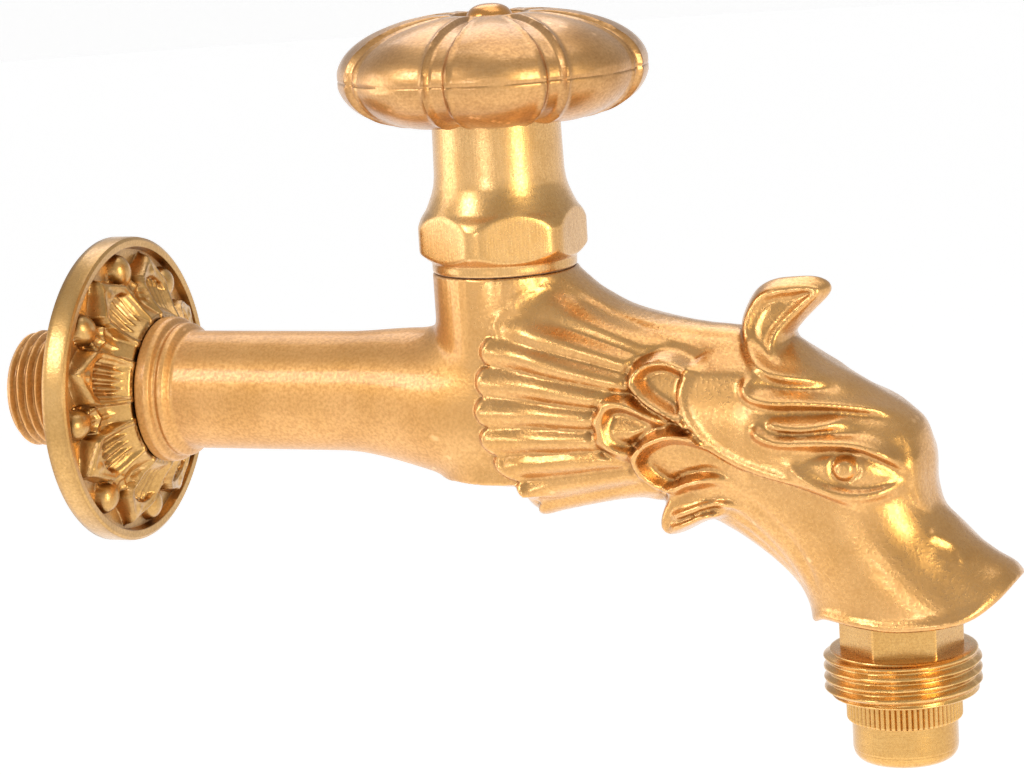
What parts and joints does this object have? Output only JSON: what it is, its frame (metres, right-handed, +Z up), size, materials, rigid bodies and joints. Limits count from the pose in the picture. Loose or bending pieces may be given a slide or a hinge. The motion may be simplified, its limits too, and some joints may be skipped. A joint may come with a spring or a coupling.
{
  "type": "decorative garden tap",
  "caption": "Brass wall tap for a garden hose: leafy wall rosette, lobed handwheel on a screw-down valve, and a spout cast as a crested beast head with a threaded hose outlet.",
  "frame": {"origin": "centre of the rosette's wall face, on the axis of the inlet shank", "axes": "+X out of the wall along the shank, +Z up along the spindle, +Y to the left seen from the spout"},
  "size_m": [0.1821, 0.0548, 0.1287],
  "materials": {
    "cast_brass": "satin cast, fine sand grain",
    "rosette_brass": "brushed, dark in the recesses",
    "wheel_brass": "brushed casting",
    "turned_brass": "turned, fine lines",
    "fibre": "pressed fibre",
    "graphite": "braided graphite",
    "black_rubber": "matte",
    "spring_steel": "bright"
  },
  "bodies": {
    "tap": {"tap_body": "cast_brass", "wall_rosette": "rosette_brass", "bonnet": "turned_brass", "bonnet_gasket": "fibre", "gland_nut": "turned_brass", "gland_packing": "graphite", "gland_washer": "turned_brass", "hose_union": "turned_brass", "union_gasket": "fibre", "outlet_nozzle": "turned_brass", "nozzle_seal": "black_rubber", "stream_screen": "spring_steel"},
    "valve": {"jumper": "turned_brass", "tap_washer": "black_rubber", "washer_plate": "turned_brass", "washer_nut": "turned_brass"},
    "spindle": {"spindle": "turned_brass", "jumper_clip": "spring_steel", "handwheel": "wheel_brass", "handwheel_screw": "turned_brass", "screw_washer": "turned_brass"}
  },
  "joints": [
    {"name": "valve_lift", "type": "slide", "parent": "tap", "child": "valve", "axis": [0, 0, 1], "range_m": [0, 0.005]},
    {"name": "handle_turn", "type": "hinge", "parent": "valve", "child": "spindle", "pos_m": [0.077, 0, 0.0554], "axis": [0, 0, 1], "range_deg": [0, 900]}
  ],
  "couplings": [
    {"joint": "valve_lift", "follows": "handle_turn", "m_per_rad": 0.0003183}
  ]
}
